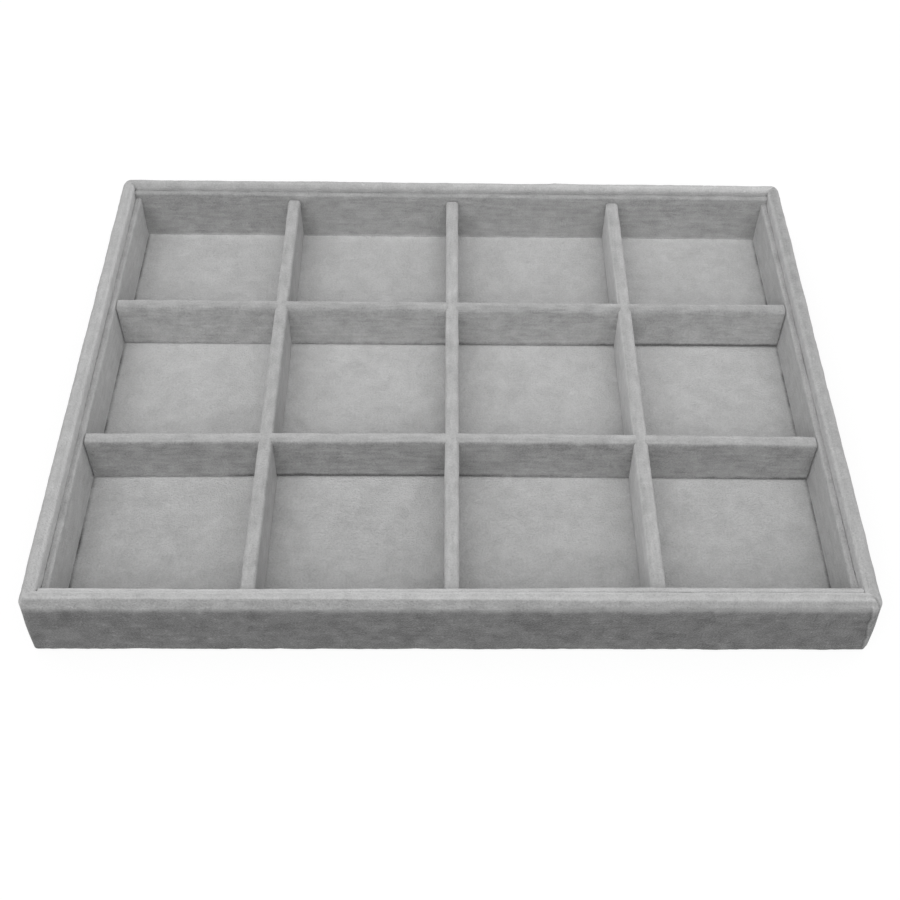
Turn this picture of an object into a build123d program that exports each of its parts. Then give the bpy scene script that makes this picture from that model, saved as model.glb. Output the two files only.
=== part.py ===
from build123d import *
import os

# A velvet jewellery tray with twelve compartments and a lift-out grid of dividers.
# X runs left to right, Y from the front to the back, Z up, in millimetres.
# The origin is the centre of the underside.

# Outside of the tray, over the velvet
tray_length = 310.0
tray_depth = 240.0
tray_height = 31.0

# Sheet stock
velvet_thickness = 0.8
cover_thickness = 0.3
board_thickness = 1.6
floor_card_thickness = 0.5
liner_card_thickness = 0.8

# Rim: a board strip on edge with a foam strip along its top, velvet wrapped round both
rail_core_thickness = 4.4
pad_height = 3.2
crown_flat = 1.0  # level part of the foam's top
pad_inner_radius = 0.8
arris_radius = 1.2  # lower outside edge of the board strip
core_corner_radius = 2.2  # upright corner of the board strips, seen from above
rebate_width = 2.0  # seat for the base board in the strip's lower inside edge

# Inside walls and dividers
liner_top = 25.2
end_liner_drop = 3.0  # top of the rim to the tops of the front and back liners
divider_core_thickness = 4.0
long_dividers = ("left", "middle", "right")  # from front to back
cross_dividers = ("front", "back")  # from left to right
middle_row_extra = 1.0  # the middle row is this much deeper than the mean of the other two
row_offset = 1.4  # the crossing dividers stand this far behind the tray's middle, as a pair
lap_height = 11.0  # the crossing dividers meet this far above the floor

# Clearances
board_clearance = 0.2  # base board to the rebate, all round
cover_margin = 2.5  # edge of the cover sheet to the outside of the tray
floor_clearance = 0.3  # floor panel to the rim, all round
liner_gap = 0.2  # liner to the rim
liner_end_gap = 0.2  # side liner to the front and back liners
divider_end_gap = 0.4  # divider to the liners
slot_clearance = 0.2  # each side of a divider in its slot
lap_clearance = 0.3  # above the lower divider in a crossing

# Heights that follow
board_top = cover_thickness + board_thickness
card_top = board_top + floor_card_thickness
floor_top = card_top + velvet_thickness
core_top = tray_height - velvet_thickness - pad_height

# Widths and spans that follow
rail_width = rail_core_thickness + 2 * velvet_thickness
liner_thickness = liner_card_thickness + 2 * velvet_thickness
divider_thickness = divider_core_thickness + 2 * velvet_thickness
pad_outer_radius = rail_core_thickness - crown_flat - pad_inner_radius
liner_span = tray_length / 2 - rail_width - liner_gap
liner_reach = tray_depth / 2 - rail_width - liner_gap
inner_span = liner_span - liner_thickness
inner_reach = liner_reach - liner_thickness
columns = len(long_dividers) + 1
rows = len(cross_dividers) + 1
column_pitch = (2 * inner_span + divider_thickness) / columns
row_pitch = (2 * inner_reach + divider_thickness - middle_row_extra) / rows + middle_row_extra
slot_width = divider_thickness + 2 * slot_clearance

os.makedirs("parts", exist_ok=True)


def finish(part, name):
    """Label a finished piece and write it under that name."""
    part.label = name
    export_step(part, f"parts/{name}.step")


# The four sides of the rim, each a quarter turn on from the last: half of its length, and how
# far its outside face stands from the middle of the tray
sides = {
    "front": (tray_length / 2, tray_depth / 2),
    "right": (tray_depth / 2, tray_length / 2),
    "back": (tray_length / 2, tray_depth / 2),
    "left": (tray_depth / 2, tray_length / 2),
}


def rail_plan(side):
    """The level plane turned to a side of the rim, its x along the side and its y into the tray."""
    quarter_turns = list(sides).index(side)
    return Plane.XY.rotated((0, 0, 90 * quarter_turns))


def rail_section(side):
    """The upright plane across a side of the rim, its x pointing into the tray."""
    plan = rail_plan(side)
    return Plane(origin=(0, 0, 0), x_dir=plan.y_dir, z_dir=plan.x_dir)


def rail_block(side, inset):
    """One mitred side of the rim with its rolled crown, drawn in by inset from the velvet's outside."""
    half_length, reach = sides[side]
    over = velvet_thickness - inset
    with BuildPart() as block:
        with BuildSketch(rail_plan(side)):
            RectangleRounded(
                2 * (half_length - inset), 2 * (reach - inset), core_corner_radius + over
            )
            with BuildLine():
                Polyline(
                    (-half_length, -reach),
                    (half_length, -reach),
                    (half_length - rail_width, rail_width - reach),
                    (rail_width - half_length, rail_width - reach),
                    close=True,
                )
            make_face(mode=Mode.INTERSECT)
        extrude(amount=tray_height)
        with BuildSketch(rail_section(side)) as section:
            with Locations((inset - reach, cover_thickness + inset)):
                Rectangle(
                    rail_width - 2 * inset,
                    tray_height - cover_thickness - 2 * inset,
                    align=(Align.MIN, Align.MIN),
                )
            foot_corners, crown_corners = section.vertices().group_by(Axis.Y)
            fillet(foot_corners.sort_by(Axis.X)[0], arris_radius + over)
            fillet(crown_corners.sort_by(Axis.X)[0], pad_outer_radius + over)
            fillet(crown_corners.sort_by(Axis.X)[-1], pad_inner_radius + over)
        extrude(amount=half_length, both=True, mode=Mode.INTERSECT)
    return block.part


def board_seat(side):
    """The rebate along a side's lower inside edge, which the base board is let into."""
    half_length, reach = sides[side]
    wall = velvet_thickness + rail_core_thickness - rebate_width - reach
    with BuildPart() as seat:
        with BuildSketch(rail_section(side)):
            with Locations((wall, 0)):
                Rectangle(rail_width, board_top, align=(Align.MIN, Align.MIN))
        extrude(amount=half_length, both=True)
    return seat.part


for side in sides:
    # Board strip on edge, rebated below and mitred at both ends
    with BuildPart() as rail_core:
        add(rail_block(side, velvet_thickness))
        split(bisect_by=Plane.XY.offset(core_top), keep=Keep.BOTTOM)
        add(board_seat(side), mode=Mode.SUBTRACT)
    finish(rail_core.part, f"rail_core_{side}")

    # Foam strip glued along the top of the board strip
    with BuildPart() as rail_pad:
        add(rail_block(side, velvet_thickness))
        split(bisect_by=Plane.XY.offset(core_top), keep=Keep.TOP)
    finish(rail_pad.part, f"rail_pad_{side}")

    # Velvet from the hem under the strip, up the outside, over the foam and down the inside
    with BuildPart() as rail_velvet:
        add(rail_block(side, 0))
        add(rail_block(side, velvet_thickness), mode=Mode.SUBTRACT)
        add(board_seat(side), mode=Mode.SUBTRACT)
    finish(rail_velvet.part, f"rail_velvet_{side}")


def panel(half_x, half_y, bottom, thickness):
    """A flat rectangular sheet centred on the tray."""
    with BuildPart() as sheet:
        with BuildSketch(Plane.XY.offset(bottom)):
            Rectangle(2 * half_x, 2 * half_y)
        extrude(amount=thickness)
    return sheet.part


# Underside: a cover sheet over the hems, and the board let into the rebate
board_inset = velvet_thickness + rail_core_thickness - rebate_width + board_clearance
finish(
    panel(tray_length / 2 - cover_margin, tray_depth / 2 - cover_margin, 0, cover_thickness),
    "base_cover",
)
finish(
    panel(
        tray_length / 2 - board_inset,
        tray_depth / 2 - board_inset,
        cover_thickness,
        board_thickness,
    ),
    "base_board",
)

# Floor panel: velvet on a card, dropped in between the sides
floor_inset = rail_width + floor_clearance
floor_size = (tray_length / 2 - floor_inset, tray_depth / 2 - floor_inset)
finish(panel(*floor_size, board_top, floor_card_thickness), "floor_card")
finish(panel(*floor_size, card_top, velvet_thickness), "floor_velvet")


def upright(across, middle, half_length, thickness, foot, top):
    """A strip on edge along the plane's normal, from its flat foot to a fully rounded top."""
    spring = top - thickness / 2
    with BuildPart() as strip:
        with BuildSketch(across):
            with BuildLine():
                Polyline(
                    (middle - thickness / 2, spring),
                    (middle - thickness / 2, foot),
                    (middle + thickness / 2, foot),
                    (middle + thickness / 2, spring),
                )
                ThreePointArc(
                    (middle + thickness / 2, spring),
                    (middle, top),
                    (middle - thickness / 2, spring),
                )
            make_face()
        extrude(amount=half_length, both=True)
    return strip.part


# Liners: velvet-wrapped cards standing on the floor against the sides. The front and back
# ones are higher and run from side to side, and the other two stand between them.
end_liner_top = tray_height - end_liner_drop
liners = {
    "front": (Plane.YZ, liner_thickness / 2 - liner_reach, liner_span, end_liner_top),
    "back": (Plane.YZ, liner_reach - liner_thickness / 2, liner_span, end_liner_top),
    "left": (Plane.XZ, liner_thickness / 2 - liner_span, inner_reach - liner_end_gap, liner_top),
    "right": (Plane.XZ, liner_span - liner_thickness / 2, inner_reach - liner_end_gap, liner_top),
}
for side, (across, middle, half_length, top) in liners.items():
    card = upright(
        across,
        middle,
        half_length,
        liner_card_thickness,
        floor_top,
        top - velvet_thickness,
    )
    with BuildPart() as liner_velvet:
        add(upright(across, middle, half_length, liner_thickness, floor_top, top))
        add(card, mode=Mode.SUBTRACT)
    finish(card, f"liner_card_{side}")
    finish(liner_velvet.part, f"liner_velvet_{side}")


def divider(across, middle, half_length, slots, slot_foot, slot_height):
    """Core and velvet of one divider. The velvet goes right round the core and over its ends,
    and the slots cut through both."""
    solid = upright(across, middle, half_length, divider_thickness, floor_top, liner_top)
    filling = upright(
        across,
        middle,
        half_length - velvet_thickness,
        divider_core_thickness,
        floor_top + velvet_thickness,
        liner_top - velvet_thickness,
    )
    with BuildPart() as cuts:
        with Locations(*slots):
            with Locations((0, 0, slot_foot)):
                Box(
                    slot_width,
                    slot_width,
                    slot_height,
                    align=(Align.CENTER, Align.CENTER, Align.MIN),
                )
    with BuildPart() as core:
        add(filling)
        add(cuts.part, mode=Mode.SUBTRACT)
    with BuildPart() as velvet:
        add(solid)
        add(filling, mode=Mode.SUBTRACT)
        add(cuts.part, mode=Mode.SUBTRACT)
    return core.part, velvet.part


def spread(names, pitch, centre):
    """The middle of each named divider, one pitch apart and spread evenly about a centre."""
    return {name: centre + (i - (len(names) - 1) / 2) * pitch for i, name in enumerate(names)}


# Dividers from front to back: slotted from below, they drop over the crossing ones, and
# their tops run through
lap = floor_top + lap_height
long_places = spread(long_dividers, column_pitch, 0)
cross_places = spread(cross_dividers, row_pitch, row_offset)
for name, x in long_places.items():
    core, velvet = divider(
        Plane.XZ,
        x,
        inner_reach - divider_end_gap,
        [(x, y) for y in cross_places.values()],
        floor_top,
        lap_height + lap_clearance,
    )
    finish(core, f"long_divider_core_{name}")
    finish(velvet, f"long_divider_velvet_{name}")

# Dividers from left to right: slotted from above
for name, y in cross_places.items():
    core, velvet = divider(
        Plane.YZ,
        y,
        inner_span - divider_end_gap,
        [(x, y) for x in long_places.values()],
        lap,
        liner_top - lap,
    )
    finish(core, f"cross_divider_core_{name}")
    finish(velvet, f"cross_divider_velvet_{name}")
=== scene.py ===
import math

import bpy
import numpy as np
from mathutils import Matrix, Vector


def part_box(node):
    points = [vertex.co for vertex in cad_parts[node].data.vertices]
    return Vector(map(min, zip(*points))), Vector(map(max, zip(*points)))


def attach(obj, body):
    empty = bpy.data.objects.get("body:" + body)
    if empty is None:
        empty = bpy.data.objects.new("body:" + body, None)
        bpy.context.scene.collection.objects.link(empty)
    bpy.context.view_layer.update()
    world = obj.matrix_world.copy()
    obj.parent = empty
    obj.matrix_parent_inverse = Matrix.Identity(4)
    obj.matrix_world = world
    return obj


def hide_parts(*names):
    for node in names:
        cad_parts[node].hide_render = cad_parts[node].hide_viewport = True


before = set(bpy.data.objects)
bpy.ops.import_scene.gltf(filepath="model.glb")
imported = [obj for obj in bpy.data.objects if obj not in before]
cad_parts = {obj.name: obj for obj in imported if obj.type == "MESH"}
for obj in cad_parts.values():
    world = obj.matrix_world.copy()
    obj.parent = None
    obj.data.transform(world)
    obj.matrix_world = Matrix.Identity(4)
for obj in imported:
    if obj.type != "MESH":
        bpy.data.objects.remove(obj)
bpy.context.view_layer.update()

# Underside cover: one sheet of matt dark grey backing paper, glued over the base board and over
# the hems of the velvet. The tray lies on it.


class Value:
    """A shader socket. Sums, differences and products of the numbers it gives add Math nodes."""

    def __init__(self, nodes, socket):
        self.nodes, self.socket = nodes, socket

    def math(self, operation, first, second):
        return self.nodes.node(
            "ShaderNodeMath", {"operation": operation}, {0: first, 1: second}
        )

    def __add__(self, other):
        return self.math("ADD", self, other)

    def __sub__(self, other):
        return self.math("SUBTRACT", self, other)

    def __rsub__(self, other):
        return self.math("SUBTRACT", other, self)

    def __mul__(self, other):
        return self.math("MULTIPLY", self, other)

    __radd__ = __add__
    __rmul__ = __mul__


class Nodes:
    """The nodes of a material or of the world. All but its first few come from node()."""

    def __init__(self, owner):
        owner.use_nodes = True
        self.tree = owner.node_tree

    def fill(self, node, inputs):
        """Give each input its number or colour, or link it to a Value."""
        for key, given in inputs.items():
            if isinstance(given, Value):
                self.tree.links.new(given.socket, node.inputs[key])
            else:
                node.inputs[key].default_value = given

    def node(self, kind, settings, inputs, output=0):
        """Add one node, its settings before its inputs, and return one of its outputs."""
        added = self.tree.nodes.new(kind)
        for key, setting in settings.items():
            setattr(added, key, setting)
        self.fill(added, inputs)
        return Value(self, added.outputs[output])

    def seen(self):
        """1 for a ray that shows a thing, straight, mirrored or through glass, and 0 for light."""
        rays = (
            self.node("ShaderNodeLightPath", {}, {}, f"Is {ray} Ray")
            for ray in ("Camera", "Glossy", "Transmission")
        )
        return sum(rays)


class Finish(Nodes):
    """A material of one Principled shader."""

    def __init__(self, name, constants):
        self.material = bpy.data.materials.new(name)
        super().__init__(self.material)
        self.shader = self.tree.nodes["Principled BSDF"]
        self.fill(self.shader, constants)

    def place(self, stretch):
        """Object coordinates in metres, each times its own stretch."""
        at = self.node("ShaderNodeTexCoord", {}, {}, "Object")
        return self.node(
            "ShaderNodeVectorMath", {"operation": "MULTIPLY"}, {0: at, 1: stretch}
        )

    def mottle(self, scale, at=None, detail=2.0, distortion=0.0):
        """Soft uneven noise between about -0.3 and 0.3, with so many patches to the metre."""
        inputs = {"Scale": scale, "Detail": detail, "Distortion": distortion}
        inputs["Vector"] = at or self.place((1, 1, 1))
        return self.node("ShaderNodeTexNoise", {}, inputs) - 0.5

    def between(self, share, low, high):
        """The share of the way from a low colour to a high one."""
        return self.node(
            "ShaderNodeMix", {"data_type": "RGBA"}, {0: share, 6: low, 7: high}, 2
        )

    def relief(self, height, distance):
        """A normal that height raises by up to distance, in metres."""
        return self.node("ShaderNodeBump", {}, {"Height": height, "Distance": distance})


def dress(nodes, finish):
    """Give the finish to CAD nodes that stay as they are."""
    for name in nodes:
        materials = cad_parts[name].data.materials
        materials.clear()
        materials.append(finish.material)


paper_dark, paper_light = (0.075, 0.075, 0.077, 1), (0.135, 0.134, 0.132, 1)

backing_paper = Finish("backing_paper", {"Specular IOR Level": 0.3})
paper_pulp = backing_paper.mottle(900, detail=4.0)
paper_clouds = backing_paper.mottle(60)
backing_paper.fill(
    backing_paper.shader,
    {
        "Base Color": backing_paper.between(
            0.5 + 0.9 * paper_pulp + 0.6 * paper_clouds, paper_dark, paper_light
        ),
        "Roughness": 0.82 + 0.3 * paper_pulp,
        "Normal": backing_paper.relief(paper_pulp, 0.00008),
    },
)
dress(["base_cover"], backing_paper)

# Base board: a thin hardboard panel, brown and hard pressed, smooth below and with the print of
# the press's wire screen above. It is glued into the rebate all round the rim.

screen_threads = 900  # to the metre
hardboard_dark, hardboard_light = (0.15, 0.085, 0.045, 1), (0.33, 0.21, 0.12, 1)

hardboard = Finish("hardboard", {"Specular IOR Level": 0.4})
hardboard_fibres = hardboard.mottle(500, hardboard.place((1, 0.3, 1)), detail=4.0)
screen_x = hardboard.node(
    "ShaderNodeTexWave", {"bands_direction": "X"}, {"Scale": screen_threads / 20}
)
screen_y = hardboard.node(
    "ShaderNodeTexWave", {"bands_direction": "Y"}, {"Scale": screen_threads / 20}
)
hardboard.fill(
    hardboard.shader,
    {
        "Base Color": hardboard.between(
            0.5 + 1.1 * hardboard_fibres, hardboard_dark, hardboard_light
        ),
        "Roughness": 0.6 + 0.4 * hardboard_fibres,
        "Normal": hardboard.relief(screen_x * screen_y + hardboard_fibres, 0.0001),
    },
)
dress(["base_board"], hardboard)

# Rim boards: four strips of fibreboard stood on edge and glued at their mitres, each with its
# lower inside edge rebated for the base board. Bare board shows only where the velvet ends.

fibreboard_dark, fibreboard_light = (0.30, 0.20, 0.115, 1), (0.50, 0.37, 0.24, 1)
rim_sides = ("front", "right", "back", "left")

fibreboard = Finish("fibreboard", {"Specular IOR Level": 0.3})
board_dust = fibreboard.mottle(1600, detail=3.0)
board_patches = fibreboard.mottle(90)
fibreboard.fill(
    fibreboard.shader,
    {
        "Base Color": fibreboard.between(
            0.5 + 1.2 * board_dust + 0.5 * board_patches,
            fibreboard_dark,
            fibreboard_light,
        ),
        "Roughness": 0.85 + 0.3 * board_dust,
        "Normal": fibreboard.relief(board_dust, 0.0001),
    },
)
dress([f"rail_core_{side}" for side in rim_sides], fibreboard)

# Foam strips: soft open-cell foam glued along the top of the rim boards, mitred with them. The
# velvet draws its shoulders down, more where the cloth is tight, so the outer one turns flat.
# Shapes are worked out in millimetres and put into the meshes in metres.

foot_corner, crown_corner = 1.6, 4.0  # outside corner of the rim, seen from above
tightest_corner = 0.4
rim_corners = {  # at the two ends of each side
    "front": ("front_left", "front_right"),
    "right": ("front_right", "back_right"),
    "back": ("back_right", "back_left"),
    "left": ("back_left", "front_left"),
}
corner_tightness = {"front_left": 0.7, "front_right": 0.35, "back_right": 0.3, "back_left": 0.3}
board_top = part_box("rail_core_front")[1].z * 1000
foam_white, foam_shade = (0.80, 0.79, 0.75, 1), (0.42, 0.41, 0.38, 1)


def outline(corners, radii, runs, bends):
    """Lines from corner to corner with rounded bends, one line for each row of corners.

    A run has evenly spaced points. A bend of radius r starts r tan(angle / 2) before its corner,
    and after an angle t it is at start + r sin(t) (the run's direction) + r (1 - cos(t)) (the
    direction across the run, towards the next one).
    """
    step = np.diff(corners, axis=-2)
    direction = step / np.linalg.norm(step, axis=-1, keepdims=True)
    before, after = direction[..., :-1, :], direction[..., 1:, :]
    cosine = (before * after).sum(-1, keepdims=True).clip(-1, 1)
    angle = np.arccos(cosine)
    across = after - cosine * before
    across = across / np.maximum(np.linalg.norm(across, axis=-1, keepdims=True), 1e-9)
    radius = radii[..., None]
    reach = radius * np.tan(angle / 2)
    leave = corners[..., 1:-1, :] - reach * before
    join = corners[..., 1:-1, :] + reach * after
    starts = np.concatenate([corners[..., :1, :], join], axis=-2)
    ends = np.concatenate([leave, corners[..., -1:, :]], axis=-2)
    parts = [corners[..., :1, :]]
    for i, count in enumerate(runs):
        share = np.linspace(0, 1, count + 2)[1:-1, None]
        run = slice(i, i + 1)
        parts.append(starts[..., run, :] * (1 - share) + ends[..., run, :] * share)
        if i < len(bends):
            turn = angle[..., run, :] * np.linspace(0, 1, bends[i])[:, None]
            parts.append(
                leave[..., run, :]
                + radius[..., run, :]
                * (np.sin(turn) * before[..., run, :] + (1 - np.cos(turn)) * across[..., run, :])
            )
    parts.append(corners[..., -1:, :])
    return np.concatenate(parts, axis=-2)


def marks(half_length, coarse, fine, easing=6.0):
    """Places along a side, fine apart at both ends and coarse apart in the middle.

    The spacing is fine + (coarse - fine) (1 - exp(-distance from the end / easing)), and the
    places are equal steps of the running total of 1 / spacing.
    """
    place = np.linspace(-half_length, half_length, 4001)
    spacing = fine + (coarse - fine) * (1 - np.exp((abs(place) - half_length) / easing))
    total = np.cumsum(1 / spacing) * (place[1] - place[0])
    total -= total[0]
    return np.interp(np.linspace(0, total[-1], int(total[-1]) + 1), total, place)


def ripple(seed, across, along, shortest, longest, waves=28):
    """An uneven surface with a mean of 0 and a mean square of 1.

    It is a sum of sine waves of random direction, length and phase, over the place on the cloth.
    """
    pick = np.random.default_rng(seed)
    heading = pick.uniform(0, np.pi, waves)
    wave = 2 * np.pi / np.exp(pick.uniform(np.log(shortest), np.log(longest), waves))
    phase = pick.uniform(0, 2 * np.pi, waves)
    total = sum(
        np.sin(k * (np.cos(h) * across + np.sin(h) * along) + p)
        for k, h, p in zip(wave, heading, phase)
    )
    return total * math.sqrt(2 / waves)


def ramp(value, width):
    """A smooth step from 0 to 1 where value passes 0: 1 / (1 + exp(-value / width))."""
    return 0.5 + 0.5 * np.tanh(value / (2 * width))


def rim_side(side):
    """Half-length and reach of one side of the rim, and the directions along it and inwards."""
    turn = rim_sides.index(side) * math.pi / 2
    along = np.array([math.cos(turn), math.sin(turn), 0]).round()
    inward = np.array([-math.sin(turn), math.cos(turn), 0]).round()
    whole = np.array([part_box(f"rail_velvet_{each}") for each in rim_sides]) * 1000
    return abs(whole @ along).max(), abs(whole @ inward).max(), along, inward


def rim_rows(half_length):
    """Each row's share of a side's straight, from -1 to 1, and its turn in the corner."""
    straight = marks(half_length - crown_corner, 1.25, 0.3) / (half_length - crown_corner)
    corner = np.linspace(0, np.pi / 4, 9)[1:]
    share = np.concatenate([np.full(8, -1.0), straight, np.full(8, 1.0)])
    turn = np.concatenate([corner[::-1], np.zeros(len(straight)), corner])
    return share[:, None], turn[:, None]


def mitred(half_length, share, turn, section):
    """Place along a side, and depth into it, of lines that follow the side at a section's depth.

    A line runs straight, and then round an eighth of a circle of radius r = the outside corner's
    radius at that height less the depth, which ends on the mitre: along = share (half-length
    - depth - r) + r sin(turn), and across = depth + r (1 - cos(turn)).
    """
    depth, height = section[..., 0], section[..., 1]
    corner = foot_corner + (crown_corner - foot_corner) * ramp(height - 20, 3)
    radius = np.maximum(corner - depth, tightest_corner)
    along = share * (half_length - depth - radius) + np.sign(share) * radius * np.sin(turn)
    return along, depth + radius * (1 - np.cos(turn))


def rim_points(side, share, turn, section):
    """Points of a side of the rim, from the depth and height of its section in each row."""
    half_length, reach, along, inward = rim_side(side)
    place, depth = mitred(half_length, share, turn, section)
    points = place[..., None] * along + (depth - reach)[..., None] * inward
    points[..., 2] = section[..., 1]
    return points


def tightness(side, place, half_length):
    """How flat the cloth draws the outer shoulder, from 0 for round to 1 for a flat band.

    Each side has its own, in slow waves, and turns to the corner's within 2 cm of a corner.
    """
    if side == "front":
        tight = 0.32 + 0.55 * ramp(25 - place, 14) + 0.06 * np.sin(place / 11)
    else:
        start = rim_sides.index(side)
        tight = 0.35 + 0.12 * np.sin(place / 23 + start) + 0.06 * np.sin(place / 9 + 2 * start)
    for end, corner in zip((-1, 1), rim_corners[side]):
        near = np.exp(-(((half_length - end * place) / 20) ** 2))
        tight = tight + near * (corner_tightness[corner] - tight)
    return tight


def skin(name, face, back, keep=None, painted_shading=None, flat=None):
    """A closed mesh between two grids of points, the face and the back, in metres.

    Every cell of the face is a four-sided face, and so is the same cell of the back, facing the
    other way. Where a kept cell has no kept neighbour, a strip joins the two grids. The fifth
    argument, painted light and shade, goes into a point attribute, and flat, each point's place on
    the flat cloth, into a UV map.
    """
    rows, columns = face.shape[:2]
    if keep is None:
        keep = np.ones((rows - 1, columns - 1), bool)
    index = np.arange(rows * columns).reshape(rows, columns)
    cell = np.stack([index[:-1, :-1], index[1:, :-1], index[1:, 1:], index[:-1, 1:]], -1)
    around = np.pad(keep, 1)
    beside = (around[1:-1, :-2], around[2:, 1:-1], around[1:-1, 2:], around[:-2, 1:-1])
    below = rows * columns
    faces = [cell[keep], cell[keep][:, ::-1] + below]
    for p, q, neighbour in zip((0, 1, 2, 3), (1, 2, 3, 0), beside):
        rim = cell[keep & ~neighbour]
        faces.append(
            np.stack([rim[:, q], rim[:, p], rim[:, p] + below, rim[:, q] + below], -1)
        )
    used, faces = np.unique(np.concatenate(faces), return_inverse=True)
    faces = faces.reshape(-1, 4)
    points = np.concatenate([face.reshape(-1, 3), back.reshape(-1, 3)])[used] / 1000
    a, b, c, d = (points[faces[:, i]] for i in range(4))
    if (np.cross(a, b) * c + np.cross(a, c) * d).sum() < 0:
        faces = faces[:, ::-1]
    mesh = bpy.data.meshes.new(name)
    mesh.vertices.add(len(points))
    mesh.vertices.foreach_set("co", points.ravel())
    mesh.loops.add(faces.size)
    mesh.loops.foreach_set("vertex_index", faces.ravel())
    mesh.polygons.add(len(faces))
    mesh.polygons.foreach_set("loop_start", np.arange(0, faces.size, 4))
    mesh.update(calc_edges=True)
    mesh.validate()
    if flat is not None:
        spread = np.concatenate([flat.reshape(-1, 2)] * 2)[used] / 1000
        mesh.uv_layers.new(name="cloth").uv.foreach_set("vector", spread[faces].ravel())
    if painted_shading is not None:
        painted_shading_value = np.concatenate([painted_shading.ravel()] * 2)[used]
        mesh.attributes.new("painted_shading", "FLOAT", "POINT").data.foreach_set("value", painted_shading_value)
    mesh.shade_smooth()
    mesh.set_sharp_from_angle(angle=math.radians(50))
    piece = bpy.data.objects.new(name, mesh)
    bpy.context.scene.collection.objects.link(piece)
    return piece


foam = Finish("open_cell_foam", {"Specular IOR Level": 0.1})
foam_cells = foam.node(
    "ShaderNodeTexVoronoi",
    {"feature": "DISTANCE_TO_EDGE"},
    {"Scale": 1500, "Vector": foam.place((1, 1, 1))},
)
foam.fill(
    foam.shader,
    {
        "Base Color": foam.between(
            1.6 * foam_cells + foam.mottle(200), foam_white, foam_shade
        ),
        "Roughness": 0.9 + 0.1 * foam_cells,
        "Normal": foam.relief(1 - foam_cells, 0.0003),
    },
)

outer, inner, foam_top = 0.8, 5.2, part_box("rail_pad_front")[1].z * 1000
round_foam = np.array(
    [[outer, board_top], [outer, 28.677], [2.323, foam_top], [inner, foam_top], [inner, board_top]]
)
tight_foam = np.array(
    [
        [outer, board_top],
        [outer, board_top + 0.15],
        [2.5, foam_top - 0.15],
        [inner, foam_top],
        [inner, board_top],
    ]
)
foam_radii, tight_foam_radii = np.array([2.5, 2.5, 1.4]), np.array([0.3, 0.6, 1.4])

for side in rim_sides:
    half_length = rim_side(side)[0]
    share, turn = rim_rows(half_length)
    tight = tightness(side, share * half_length, half_length)[..., None]
    crown = outline(
        round_foam + tight * (tight_foam - round_foam),
        foam_radii + tight[..., 0] * (tight_foam_radii - foam_radii),
        (1, 2, 4, 2),
        (6, 6, 6),
    )
    seat = np.stack([crown[..., 0], np.full(crown.shape[:2], board_top)], -1)
    seat[..., 0] = np.linspace(outer, inner, crown.shape[1])
    strip = skin(
        f"rim_foam_{side}",
        rim_points(side, share, turn, crown),
        rim_points(side, share, turn, seat),
    )
    strip.data.materials.append(foam.material)
    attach(strip, "tray")
    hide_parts(f"rail_pad_{side}")

# Rim velvet: a strip of short-pile grey velvet for each side, stretched from its hem under the
# board, up the outside, over the foam and down the inside, and glued. The strips meet at the
# mitres in narrow seams. At the front right corner one strip's raw edge is glued over the other.

hem_end, seat_top, rim_foot, rim_top, rim_width = 3.2, 1.9, 0.3, 31.0, 6.0
seam_depth = {"front_left": 0.0, "front_right": 0.8, "back_right": 0.3, "back_left": 0.3}
face_shade_top = 25.6  # height below which the outside face gets its painted shade
pile_dark, pile_light = (0.1, 0.1, 0.1, 1), (0.75, 0.75, 0.75, 1)
# painted shade and light of the outside face, of the outer shoulder, of the crown at either
# end, and of the inner shoulder, which starts where the cloth leans so far inwards
rim_painted_shading = {
    "front": (-0.7, -0.5, (0.0, 0.0), 0.8, 0.05),
    "right": (-0.5, -0.12, (-0.15, -0.5), 0.5, 0.35),
    "back": (-0.5, -0.12, (0.4, -0.1), -0.3, 0.05),
    "left": (-0.5, -0.12, (-0.1, 0.0), 0.7, 0.35),
}


def velvet(name, tone, clouds, patches, drag, tufts):
    """Short-pile velvet: its tone is 0 for the pile's dark colour and 1 for its light one.

    The pile lies one way and another, in clouds of 2 cm, in patches of 6 mm, dragged along the
    cloth in streaks, and fibre by fibre, and tufts of 2 mm stand up pale. The point attribute it
    reads is painted light above 0 and painted shade below 0: each 1 of it changes the tone by 0.4.
    """
    cloth = Finish(name, {"Specular IOR Level": 0.1, "Sheen Weight": 0.3, "Sheen Roughness": 0.5})
    on_cloth = cloth.node("ShaderNodeUVMap", {"uv_map": "cloth"}, {})
    stretched = cloth.node(
        "ShaderNodeVectorMath", {"operation": "MULTIPLY"}, {0: on_cloth, 1: (600, 90, 1)}
    )
    cloudy = cloth.mottle(55, distortion=0.8)
    patchy = cloth.mottle(170, detail=3.0, distortion=0.4)
    dragged = cloth.mottle(1, stretched)
    fibres = cloth.mottle(1500)
    standing = cloth.node(
        "ShaderNodeMapRange", {}, {"Value": cloth.mottle(480), "From Min": 0.13, "From Max": 0.26}
    )
    # painted light above 0 and painted shade below 0, from the point attribute
    painted_shading_value = cloth.node("ShaderNodeAttribute", {"attribute_name": "painted_shading"}, {}, "Fac")
    brushed = clouds * cloudy + patches * patchy + drag * dragged
    shade = tone + brushed + 0.34 * fibres + tufts * standing + 0.4 * painted_shading_value
    cloth.fill(
        cloth.shader,
        {
            "Base Color": cloth.between(shade, pile_dark, pile_light),
            "Roughness": 0.9 + 0.2 * patchy,
            "Normal": cloth.relief(fibres + 0.5 * patchy + 0.2 * dragged, 0.0005),
        },
    )
    return cloth


def outwards(section):
    """The unit vector out of the cloth at each point: its line's direction, turned 90° left."""
    line = np.gradient(section, axis=-2)
    out = np.stack([-line[..., 1], line[..., 0]], -1)
    return out / np.linalg.norm(out, axis=-1, keepdims=True)


def cloth_width(section):
    """How far across the flat cloth each point of a section lies, from the first."""
    step = np.linalg.norm(np.diff(section, axis=-2), axis=-1)
    return np.concatenate([np.zeros_like(step[..., :1]), np.cumsum(step, -1)], -1)


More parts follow.
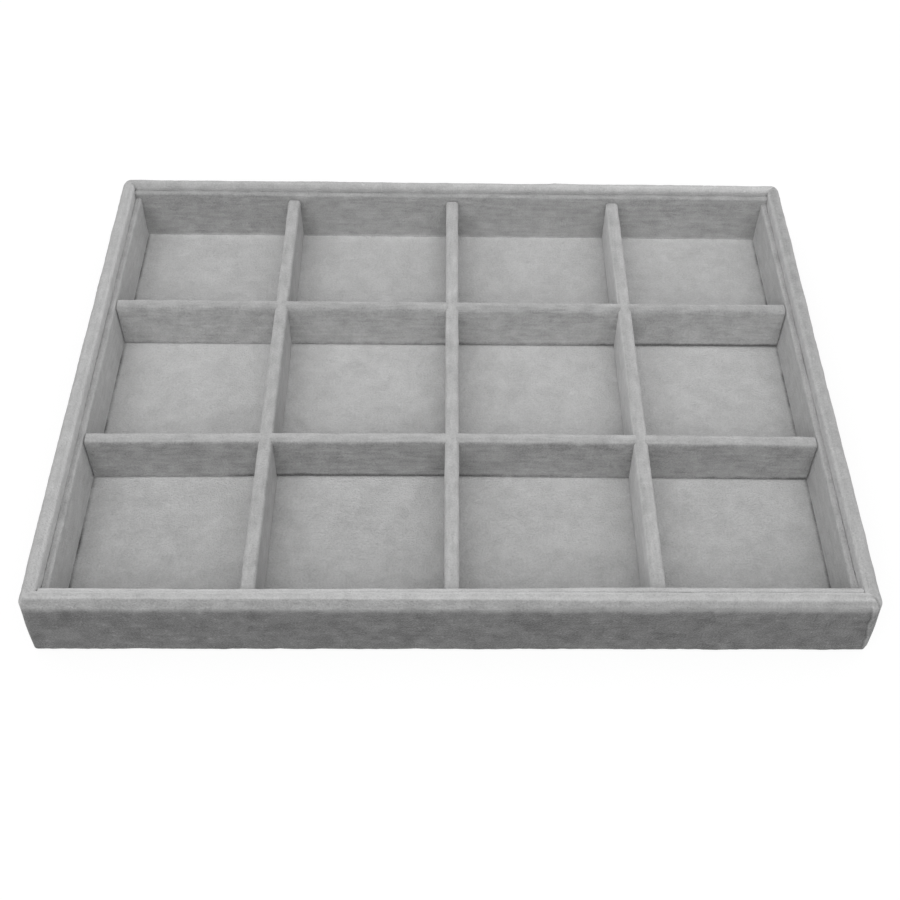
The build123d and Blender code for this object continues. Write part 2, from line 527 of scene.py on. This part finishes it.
def fold(across, along, start, end, width, height):
    """A fold on the flat cloth from start to end, raised by height.

    It is height exp(-(distance from the line / width)^2), and fades over 3 widths at both ends.
    """
    start, end = np.array(start, float), np.array(end, float)
    length = np.hypot(*(end - start))
    toward = (end - start) / length
    on_line = (across - start[0]) * toward[0] + (along - start[1]) * toward[1]
    off_line = (across - start[0]) * toward[1] - (along - start[1]) * toward[0]
    ends = (np.minimum(on_line, length - on_line) / (3 * width)).clip(0, 1)
    return height * np.exp(-((off_line / width) ** 2)) * ends


rim_velvet = velvet("rim_velvet", 0.57, 0.08, 0.28, 0.14, 0.1)
round_face = np.array(
    [
        [hem_end, rim_foot],
        [0, rim_foot],
        [0, 29.008],
        [1.992, rim_top],
        [rim_width, rim_top],
        [rim_width, seat_top],
    ]
)
tight_face = round_face + [[0, 0], [0, 0], [0, -2.408], [0.108, -0.15], [0, 0], [0, 0]]
round_back = np.array(
    [[hem_end, 1.1], [0.8, 1.1], [0.8, 28.677], [2.323, 30.2], [5.2, 30.2], [5.2, seat_top]]
)
tight_back = round_back + [[0, 0], [0, 0], [0, -1.527], [0.177, -0.15], [0, 0], [0, 0]]
face_radii, tight_face_radii = np.array([0.7, 3.3, 3.3, 2.2]), np.array([0.7, 1.0, 1.2, 2.2])
back_radii, tight_back_radii = np.array([0.5, 2.5, 2.5, 1.4]), np.array([0.5, 0.3, 0.6, 1.4])
runs, bends = (3, 24, 4, 5, 20), (7, 8, 8, 12)

for side in rim_sides:
    half_length = rim_side(side)[0]
    share, turn = rim_rows(half_length)
    tight = tightness(side, share * half_length, half_length)[..., None]
    face = outline(
        round_face + tight * (tight_face - round_face),
        face_radii + tight[..., 0] * (tight_face_radii - face_radii),
        runs,
        bends,
    )
    back = outline(
        round_back + tight * (tight_back - round_back),
        back_radii + tight[..., 0] * (tight_back_radii - back_radii),
        runs,
        bends,
    )
    place, depth = mitred(half_length, share, turn, face)
    across = cloth_width(face)
    out = outwards(face)
    seed = 10 * rim_sides.index(side)
    ragged = 0.22 * ripple(seed + 3, 0, place, 3, 14)
    in_face_shade = ramp(face_shade_top + ragged - face[..., 1], 0.5)
    on_face, on_facet, on_crown, on_inside, inside_from = rim_painted_shading[side]
    # painted shade on the outside face and the outer shoulder; on the inner shoulder painted
    # light, and painted shade at the back
    painted_shading = on_face * in_face_shade * (1.7 * -out[..., 0] - 0.5).clip(0, 1)
    painted_shading += on_facet * (3.5 * -out[..., 0] - 1.75 + 0.4 * ragged).clip(0, 1)
    painted_shading += on_inside * (2 * (out[..., 0] - inside_from)).clip(0, 1)
    # painted light and shade along the crown, with a little more painted light at the middle of
    # the front
    crown_painted_shading = np.interp(place, (-half_length, half_length), on_crown)
    if side == "front":
        crown_painted_shading += 0.12 * np.exp(-((place / 60) ** 2))
    painted_shading += crown_painted_shading * (2 * out[..., 1] + 0.5 * out[..., 0] - 1).clip(0, 1)
    to_mitre = (half_length - abs(place) - depth) / math.sqrt(2)
    glued = ramp(face[..., 0] - 5.5, 0.1) * ramp(29.3 - face[..., 1], 0.3)
    loose = (1 - np.exp(-((to_mitre / 4) ** 2))) * (1 - 0.8 * glued)
    lift = loose * (
        0.06 * ripple(seed + 1, across, place, 12, 45)
        + 0.03 * ripple(seed + 2, across, place, 2.5, 7)
    )
    for end, corner in zip((-1, 1), rim_corners[side]):
        at_end = np.sign(share) == end
        open_part = ramp(depth - 4.8, 0.15)
        if corner == "front_right":
            open_part = ramp(3.6 - depth, 0.4) * ramp(face[..., 1] - 25, 0.8)
        seam = seam_depth[corner] * at_end * open_part * np.exp(-((to_mitre / 0.5) ** 2))
        lift -= seam
        # painted shade in the seam's groove
        painted_shading -= 0.7 * seam
    upright = ramp(31.5 - across, 0.6) * ramp(across - 5.0, 0.4)
    if side == "right":
        lift += 0.4 * upright * np.exp(-(((half_length + place) / 8) ** 2))
    if side == "front":
        for start, end, width, height in (
            ((31.5, -154), (32.0, -146), 0.6, -0.25),
            ((33.0, -154), (33.4, -144), 0.7, 0.2),
            ((32.0, -146), (27.0, -139), 0.8, -0.2),
        ):
            lift += fold(across, place, start, end, width, height)
        edge = 1.2 + 0.1 * face[..., 1] + 0.3 * np.sin(face[..., 1] / 2.1)
        edge = edge + 0.15 * np.sin(face[..., 1] / 0.9)
        from_edge = half_length - place - edge
        flap = ramp(-from_edge, 0.12)
        lip = np.exp(-(((from_edge + 0.35) / 0.3) ** 2))
        below = np.exp(-(((from_edge - 0.4) / 0.35) ** 2))
        lift += upright * (0.4 * flap + 0.12 * lip - 0.08 * below)
        # the flap a little lighter, a painted highlight on its lip, and painted shade on the cloth
        # beside its edge
        painted_shading += upright * (0.15 * flap + 0.4 * lip - 0.15 * below)
    section = face + out * lift[..., None]
    piece = skin(
        f"rim_cloth_{side}",
        rim_points(side, share, turn, section),
        rim_points(side, share, turn, back),
        painted_shading=painted_shading,
        flat=np.stack([across, place], -1),
    )
    piece.data.materials.append(rim_velvet.material)
    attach(piece, "tray")
    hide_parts(f"rail_velvet_{side}")
    across.mean(0)[-1] / 1000
    2 * half_length / 1000

# Floor panel: velvet glued flat on a thin grey card, dropped in between the sides of the rim. Its
# pile was brushed by hand, and lies in cloudy patches.

card_dark, card_light = (0.22, 0.205, 0.19, 1), (0.38, 0.355, 0.33, 1)

grey_card = Finish("grey_card", {"Specular IOR Level": 0.3})
card_pulp = grey_card.mottle(700, detail=4.0)
grey_card.fill(
    grey_card.shader,
    {
        "Base Color": grey_card.between(
            0.5 + 1.0 * card_pulp + 0.5 * grey_card.mottle(120), card_dark, card_light
        ),
        "Roughness": 0.85 + 0.3 * card_pulp,
        "Normal": grey_card.relief(card_pulp, 0.00008),
    },
)
dress(["floor_card"], grey_card)

floor_low, floor_high = np.array(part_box("floor_velvet")) * 1000
side_wall = 146.4  # from the middle of the tray to the face of a side liner
by_side = np.linspace(side_wall - 2.7, floor_high[0], 21)  # close rows, for the painted shade along its foot
floor_x, floor_y = np.meshgrid(
    np.concatenate([-by_side[::-1], np.linspace(-1, 1, 225) * (side_wall - 3.9), by_side]),
    np.linspace(floor_low[1], floor_high[1], 181),
    indexing="ij",
)
hollow = 0.07 * (1 + 0.5 * ripple(51, floor_x, floor_y, 15, 60)).clip(0, 2) + 0.02 * (
    1 + ripple(52, floor_x, floor_y, 3, 9)
).clip(0, 3)
floor_face = np.stack([floor_x, floor_y, floor_high[2] - hollow], -1)
floor_back = np.stack([floor_x, floor_y, np.full_like(floor_x, floor_low[2])], -1)

# Painted light: the floor is paler in front of the wall behind each compartment, and that
# fades over 9 mm in front of the wall and under the divider. The front and back rows are a
# little darker.
walls_behind = np.array([-39.8, 37.0, 111.4])
under_divider = 5.6
front_row, back_row = -37, 40  # where those rows meet the middle one
to_wall = walls_behind[:, None, None] - floor_y
painted_light_by_wall = np.where(
    to_wall > 0, np.exp(-to_wall.clip(0) / 9), (1 + to_wall / under_divider).clip(0)
).sum(0)
floor_painted_shading = 0.42 * painted_light_by_wall
floor_painted_shading = floor_painted_shading - 0.13 * ramp(front_row - floor_y, 3) - 0.06 * ramp(floor_y - back_row, 3)
# painted shade: a dark line on the floor along the foot of each side liner
wall_foot_shade = np.exp(-(((abs(floor_x) - side_wall + 0.3) / 0.7) ** 2))
floor_painted_shading -= wall_foot_shade * (0.9 + 0.3 * ripple(53, floor_x, floor_y, 6, 25)).clip(0.6, 1.3)
floor_velvet = velvet("floor_velvet", 0.615, 0.15, 0.25, 0.06, 0.0)
floor = skin(
    "floor_cloth",
    floor_face,
    floor_back,
    painted_shading=floor_painted_shading,
    flat=np.stack([floor_y, floor_x], -1),
)
floor.data.materials.append(floor_velvet.material)
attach(floor, "tray")
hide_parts("floor_velvet")

# Liners: strips of grey card with velvet folded over their tops, standing on the floor against
# the inside of the rim. The front and back ones run from side to side, the others between them.

liner_half, liner_cloth = 1.2, 0.8
liner_bow = 0.10  # how far a liner's top bends out of line between its ends
liner_painted_shading = {  # painted light and shade of the inside face at its top and its foot, and of the top
    "front": (0.7, 0.0, 0.7),
    "right": (0.1, 0.2, -0.3),
    "back": (-0.5, -0.33, -0.5),
    "left": (0.2, 0.3, -0.3),
}
liner_velvet = velvet("liner_velvet", 0.57, 0.08, 0.3, 0.28, 0.0)
dress([f"liner_card_{side}" for side in rim_sides], grey_card)


def liner_outline(foot, top, inset, against_rim, radii):
    """The section from the foot at the rim, over the top and down again, drawn in by an inset.

    Against the rim its top is squarer, and pressed out by a little more.
    """
    half, peak = liner_half - inset, top - inset
    outside = -half - against_rim
    corners = np.array([[outside, foot], [outside, peak], [half, peak], [half, foot]])
    return outline(corners, np.array(radii), (17, 1, 17), (7, 7))[None]


def liner_points(section, bow, place, middle, along, inward):
    """Points of a liner: its section's depth and height, carried along its side of the rim."""
    depth = section[..., 0] + bow - middle
    points = place[..., None] * along + depth[..., None] * inward
    points[..., 2] = section[..., 1]
    return points


for side in rim_sides:
    along, inward = rim_side(side)[2:]
    low, high = np.array(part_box(f"liner_velvet_{side}")) * 1000
    half_length = abs(np.array([low, high]) @ along).max()
    middle = abs((low + high) / 2 @ inward)
    foot, top = low[2], high[2]
    place = marks(half_length, 1.25, 0.5)[:, None]
    face = liner_outline(foot, top, 0, 0.12, (0.5, 1.16))
    back = liner_outline(foot, top, liner_cloth, 0, (0.3, 0.39))
    across = cloth_width(face) + 0 * place
    out = outwards(face)
    on_crest = (2 * out[..., 1] - 1).clip(0, 1)
    seed = 60 + 10 * rim_sides.index(side)
    lift = 0.05 * ripple(seed, across, place, 10, 40)
    lift = lift + 0.03 * ripple(seed + 1, across, place, 2.5, 7)
    lift = lift * ((face[..., 1] - foot) / 2).clip(0, 1) - 0.03
    if side == "front":  # its top rises towards the right
        raised = ramp(place - 10, 20)
        lift = lift + (0.3 + 1.2 * raised) * on_crest
    section = face + out * lift[..., None]
    height = (face[..., 1] - foot) / (top - foot)
    bow = liner_bow * np.sin(place / 17 + seed) * height**2
    # painted light and shade on the inside face and the top, and painted light at the foot against
    # the shade where it meets the floor
    at_top, at_foot, on_top = liner_painted_shading[side]
    painted_shading = (1.6 * out[..., 0] - 0.6).clip(0, 1) * (at_foot + (at_top - at_foot) * height)
    painted_shading = painted_shading + 0.5 * (1 - (face[..., 1] - foot) / 0.9).clip(0, 1)
    painted_shading = painted_shading + on_top * on_crest
    # painted shade on the front one's raised top and its outer face
    if side == "front":
        painted_shading = painted_shading - 0.5 * raised * on_crest
        painted_shading = painted_shading - 1.4 * raised * (-1.6 * out[..., 0] - 0.2).clip(0, 1)
    # painted light on the outer faces of the side ones, in the groove against the rim
    if side in ("left", "right"):
        painted_shading = painted_shading + 0.6 * (-1.4 * out[..., 0]).clip(0, 1)
    # painted shade on the back one's inside face, deeper towards one end
    if side == "back":
        painted_shading = painted_shading - (0.06 + 0.14 * ramp(place - 75, 4)) * out[..., 0].clip(0, 1)
    piece = skin(
        f"liner_cloth_{side}",
        liner_points(section, bow, place, middle, along, inward),
        liner_points(back, 0, place, middle, along, inward),
        painted_shading=painted_shading + 0 * across,
        flat=np.stack([across, place + 0 * across], -1),
    )
    piece.data.materials.append(liner_velvet.material)
    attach(piece, "tray")
    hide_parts(f"liner_velvet_{side}")
    across[0, -1] / 1000
    2 * half_length / 1000

# Dividers: strips of fibreboard wrapped in velvet, which meets in a butt seam under the foot and
# is folded over both ends. The long ones are slotted from below and drop over the crossing ones,
# which are slotted from above. Where a crossing divider stands a little clear, painted shade
# darkens the foot of its velvet over the gap.

divider_half, divider_cloth, crown_radius = 2.8, 0.8, 1.4
sharpest_crown = 0.03  # where the section narrows over a divider's end
slot_half = {"long": 3.0, "cross": 2.81}
seam_half = 0.04
end_edge, foot_edge = 0.4, 0.6
longs, crosses = ("left", "middle", "right"), ("front", "back")
long_slot_top, cross_slot_foot = 14.5, 14.2
cross_lift = {
    "front": (
        ((-146, 0.2), (-95, 0.25), (-84, 0.5), (-74, 0.7), (-61, 0.7), (-55, 0.6), (-4, 0.5))
        + ((16, 0.45), (22, 0.3), (78, 0.25), (110, 0.35), (146, 0.5))
    ),
    "back": (
        ((-146, 0.35), (-130, 0.25), (-75, 0.25), (-65, 0.35), (-5, 0.35), (5, 0.4))
        + ((50, 0.35), (66, 0.5), (80, 0.6), (105, 0.7), (146, 0.7))
    ),
}
long_lift = ((-111, 0.1), (111, 0.1))
cross_sway = {
    "front": ((-146, -0.55), (-75, 0.1), (0, 0.5), (75, 0.1), (146, -0.55)),
    "back": ((-146, 0.0), (146, 0.0)),
}
long_sway = {
    "left": ((-111, -0.1), (111, 0.0)),
    "middle": ((-111, -0.55), (111, -0.35)),
    "right": ((-111, 0.55), (111, 0.6)),
}
# painted light and shade of the two faces, each at top and foot, along the top, and across it
long_painted_shading = {
    "left": ((0.0, 0.2), (-0.4, 0.1), -0.15, 0.0),
    "middle": ((0.0, 0.2), (0.0, 0.0), -0.05, 0.0),
    "right": ((0.6, 0.3), (0.0, 0.0), -0.08, 0.15),
}
cross_painted_shading = {
    "front": ((-0.78, -0.58), (0.0, 0.0), -0.12, 0.25),
    "back": ((-0.42, -0.22), (0.0, 0.0), -0.25, 0.3),
}

divider_velvet = velvet("divider_velvet", 0.55, 0.08, 0.3, 0.28, 0.04)
dress([f"long_divider_core_{name}" for name in longs], fibreboard)
dress([f"cross_divider_core_{name}" for name in crosses], fibreboard)


def lengthwise(half_length, straight, edge, inset):
    """Each row's place along a divider, and how far its section is drawn in there.

    The line is straight, then rounds the end's edge in a quarter circle, and then crosses the
    end nearly to its middle.
    """
    turn = np.linspace(0, np.pi / 2, 6)[1:]
    to_middle = np.linspace(inset + edge, divider_half - 0.05, 5)[1:]
    place = np.concatenate([half_length - edge * (1 - np.sin(turn)), np.full(4, half_length)])
    drawn = np.concatenate([inset + edge * (1 - np.cos(turn)), to_middle])
    return (
        np.concatenate([-place[::-1], straight, place])[:, None],
        np.concatenate([drawn[::-1], np.full(len(straight), inset), drawn])[:, None],
    )


def wrapped(inset, foot, top, slot_edge, edge):
    """The section round a divider, from the seam under its foot and back to it, for each inset."""
    half, low, high = divider_half - inset, foot + inset, top - inset
    seam, level = 0 * inset + seam_half, 0 * inset + slot_edge
    corners = np.stack(
        [
            np.concatenate([-seam, -half, -half, -half, half, half, half, seam], -1),
            np.concatenate([low, low, level, high, high, level, low, low], -1),
        ],
        -1,
    )
    heel, crown = np.minimum(edge, 0.8 * half), np.minimum(crown_radius - inset, 0.97 * half)
    crown = np.maximum(crown, sharpest_crown)
    radii = np.concatenate([heel, 0 * heel, crown, crown, 0 * heel, heel], -1)
    return outline(corners, radii, (2, 9, 8, 0, 8, 9, 2), (5, 1, 10, 10, 1, 5))


def carried(section, place, sway, along, side):
    """Points of a divider: its section carried along it, and moved aside by its sway."""
    points = place[..., None] * along + (section[..., 0] + sway)[..., None] * side
    points[..., 2] = section[..., 1]
    return points


def divider(kind, name, along, side, slots, slot_edge, slot_above, lifts, sways, seed, painted_shadings):
    """The velvet of one divider, cut away over its slots, on its body and in place of its node.

    Where a divider slotted from above meets the rounded top of another, its own is pushed along
    against it: by 0.9 (r - sqrt(r^2 - (height over the start of the rounding)^2)), fading as
    exp(-(distance / 1.2)^2).
    """
    node = f"{kind}_divider_velvet_{name}"
    cut_half = slot_half[kind]
    low, high = np.array(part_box(node)) * 1000
    half_length = high @ along
    middle = (low + high) / 2 @ side
    foot, top = low[2], high[2]
    breaks = [1 - half_length, half_length - 1]
    for slot in slots:
        breaks += [slot - cut_half, slot + cut_half]
    breaks = np.sort(breaks)
    straight = np.unique(
        np.concatenate(
            [
                np.linspace(a, b, math.ceil((b - a) / 1.2) + 1)
                for a, b in zip(breaks[:-1], breaks[1:])
            ]
        )
    )
    place, inset = lengthwise(half_length, straight, end_edge, 0)
    back_place, back_inset = lengthwise(half_length - divider_cloth, straight, 0.1, divider_cloth)
    face = wrapped(inset, foot, top, slot_edge, foot_edge)
    back = wrapped(back_inset, foot, top, slot_edge, 0.1)
    across = cloth_width(face)
    height = face[..., 1] - foot
    rise = np.interp(place, *zip(*lifts)) + 0.03 * ripple(seed, 0, place, 4, 12)
    from_slot = abs(place - np.array(slots)).min(-1, keepdims=True)
    free = 1 - np.exp(-((from_slot / 5) ** 4))
    lift = free * (height / 3).clip(0, 1) * (
        0.05 * ripple(seed + 1, across, place, 10, 40)
        + 0.03 * ripple(seed + 2, across, place, 2.5, 7)
    )
    out = outwards(face)
    section = face + out * lift.clip(-0.08)[..., None]
    section[..., 1] += rise * (1 - height / 4).clip(0, 1)
    centre = (place[1:, 0] + place[:-1, 0]) / 2
    level = (face[:-1, :-1, 1] + face[1:, 1:, 1]) / 2
    in_slot = (abs(centre[:, None] - np.array(slots)) < cut_half).any(1)
    beyond = level > slot_edge if slot_above else level < slot_edge
    keep = ~(in_slot[:, None] & beyond)
    sway = middle + np.interp(place, *zip(*sways))
    up = height / (top - foot)
    # painted light and shade on the two faces and along the top
    painted_shading = sum(
        (1.8 * facing * out[..., 0] - 0.8).clip(0, 1) * (at_foot + (at_top - at_foot) * up)
        for facing, (at_top, at_foot) in zip((-1, 1), painted_shadings[:2])
    )
    painted_shading = painted_shading + (painted_shadings[2] + painted_shadings[3] * face[..., 0] / divider_half) * (
        1.6 * out[..., 1] - 0.4
    ).clip(0, 1)
    # painted shade on the foot of the velvet where the divider stands clear of the floor
    painted_shading -= 3.2 * (rise - 0.2).clip(0, 1) * (2.3 - height / 0.9).clip(0, 1)
    around = across.max()
    cut = around / 2 - slot_edge + foot if slot_above else slot_edge - foot
    if slot_above:
        to_slot = np.array(slots)[abs(place - np.array(slots)).argmin(1)][:, None] - place
        above = (face[..., 1] - top + crown_radius).clip(0, 0.99 * crown_radius)
        recess = crown_radius - np.sqrt(crown_radius**2 - above**2)
        close = np.exp(-(((abs(to_slot) - cut_half).clip(0) / 1.2) ** 2))
        place = place + np.sign(to_slot) * 0.9 * recess * close
    piece = skin(
        f"{kind}_divider_cloth_{name}",
        carried(section, place, sway, along, side),
        carried(back, back_place, sway, along, side),
        keep,
        painted_shading=painted_shading,
        flat=np.stack([across, place + 0 * across], -1),
    )
    piece.data.materials.append(divider_velvet.material)
    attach(piece, f"long_divider_{name}" if kind == "long" else "cross_dividers")
    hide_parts(node)
    length = 2 * (half_length + divider_half)
    (around * length - len(slots) * 2 * cut_half * 2 * cut) / 1e6


x_axis, y_axis = np.array([1, 0, 0]), np.array([0, 1, 0])


def middle(kind, name, axis):
    """Where a divider stands, in millimetres."""
    return np.array(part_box(f"{kind}_divider_velvet_{name}")).mean(0) @ axis * 1000


long_places = {name: middle("long", name, x_axis) for name in longs}
cross_places = {name: middle("cross", name, y_axis) for name in crosses}


def crossed(places, sways, at):
    """Where the cloths of the dividers that cross one at a place stand there."""
    return [place + np.interp(at, *zip(*sways[name])) for name, place in places.items()]


for i, name in enumerate(longs):
    divider(
        "long",
        name,
        y_axis,
        x_axis,
        crossed(cross_places, cross_sway, long_places[name]),
        long_slot_top,
        False,
        long_lift,
        long_sway[name],
        100 + 10 * i,
        long_painted_shading[name],
    )
for i, name in enumerate(crosses):
    divider(
        "cross",
        name,
        x_axis,
        y_axis,
        crossed(long_places, long_sway, cross_places[name]),
        cross_slot_foot,
        True,
        cross_lift[name],
        cross_sway[name],
        140 + 10 * i,
        cross_painted_shading[name],
    )

# Table, light and camera: a white table in a soft white tent, a broad lamp high in front of it,
# and the camera above the front edge, at the photograph's angle.

table = bpy.data.objects.new("table", bpy.data.meshes.new("table"))
table.data.from_pydata(
    [(-6, -6, -0.0001), (6, -6, -0.0001), (6, 6, -0.0001), (-6, 6, -0.0001)], [], [(0, 1, 2, 3)]
)
bpy.context.scene.collection.objects.link(table)

table_white = Finish("table_white", {"Specular IOR Level": 0.0, "Emission Strength": 1.0})
shown = table_white.seen()
table_white.fill(
    table_white.shader,
    {
        "Base Color": table_white.between(shown, (0.3, 0.3, 0.3, 1), (0.2, 0.2, 0.2, 1)),
        "Emission Color": table_white.between(shown, (0, 0, 0, 1), (0.82, 0.82, 0.82, 1)),
    },
)
table.data.materials.append(table_white.material)

world = bpy.data.worlds.new("soft_tent")
bpy.context.scene.world = world
tent = Nodes(world)
tent_light = tent.node("ShaderNodeBackground", {}, {"Color": (0.62, 0.62, 0.62, 1)})
tent_shown = tent.node("ShaderNodeBackground", {}, {"Color": (1, 1, 1, 1)})
tent_mix = tent.node("ShaderNodeMixShader", {}, {0: tent.seen(), 1: tent_light, 2: tent_shown})
tent.fill(tent.tree.nodes["World Output"], {"Surface": tent_mix})

lamp = bpy.data.objects.new("broad_lamp", bpy.data.lights.new("broad_lamp", "SUN"))
lamp.data.energy = 1.65
lamp.data.angle = math.radians(60)
lamp.matrix_world = Matrix.Rotation(math.radians(174), 4, "Z") @ Matrix.Rotation(
    math.radians(-40), 4, "X"
)
bpy.context.scene.collection.objects.link(lamp)

camera = bpy.data.objects.new("camera", bpy.data.cameras.new("camera"))
camera.data.lens = 53.0127
camera.data.sensor_width = 36
camera.data.shift_x, camera.data.shift_y = -0.030855, -0.002759
camera.data.clip_start, camera.data.clip_end = 0.01, 50
camera.matrix_world = (
    Matrix.Translation((-0.003516, -0.384619, 0.424639))
    @ Matrix.Rotation(math.radians(-2.2212), 4, "Z")
    @ Matrix.Rotation(math.radians(90 - 49.3515), 4, "X")
    @ Matrix.Rotation(math.radians(1.9657), 4, "Z")
)
bpy.context.scene.collection.objects.link(camera)
bpy.context.scene.camera = camera
bpy.context.scene.view_settings.view_transform = "Standard"
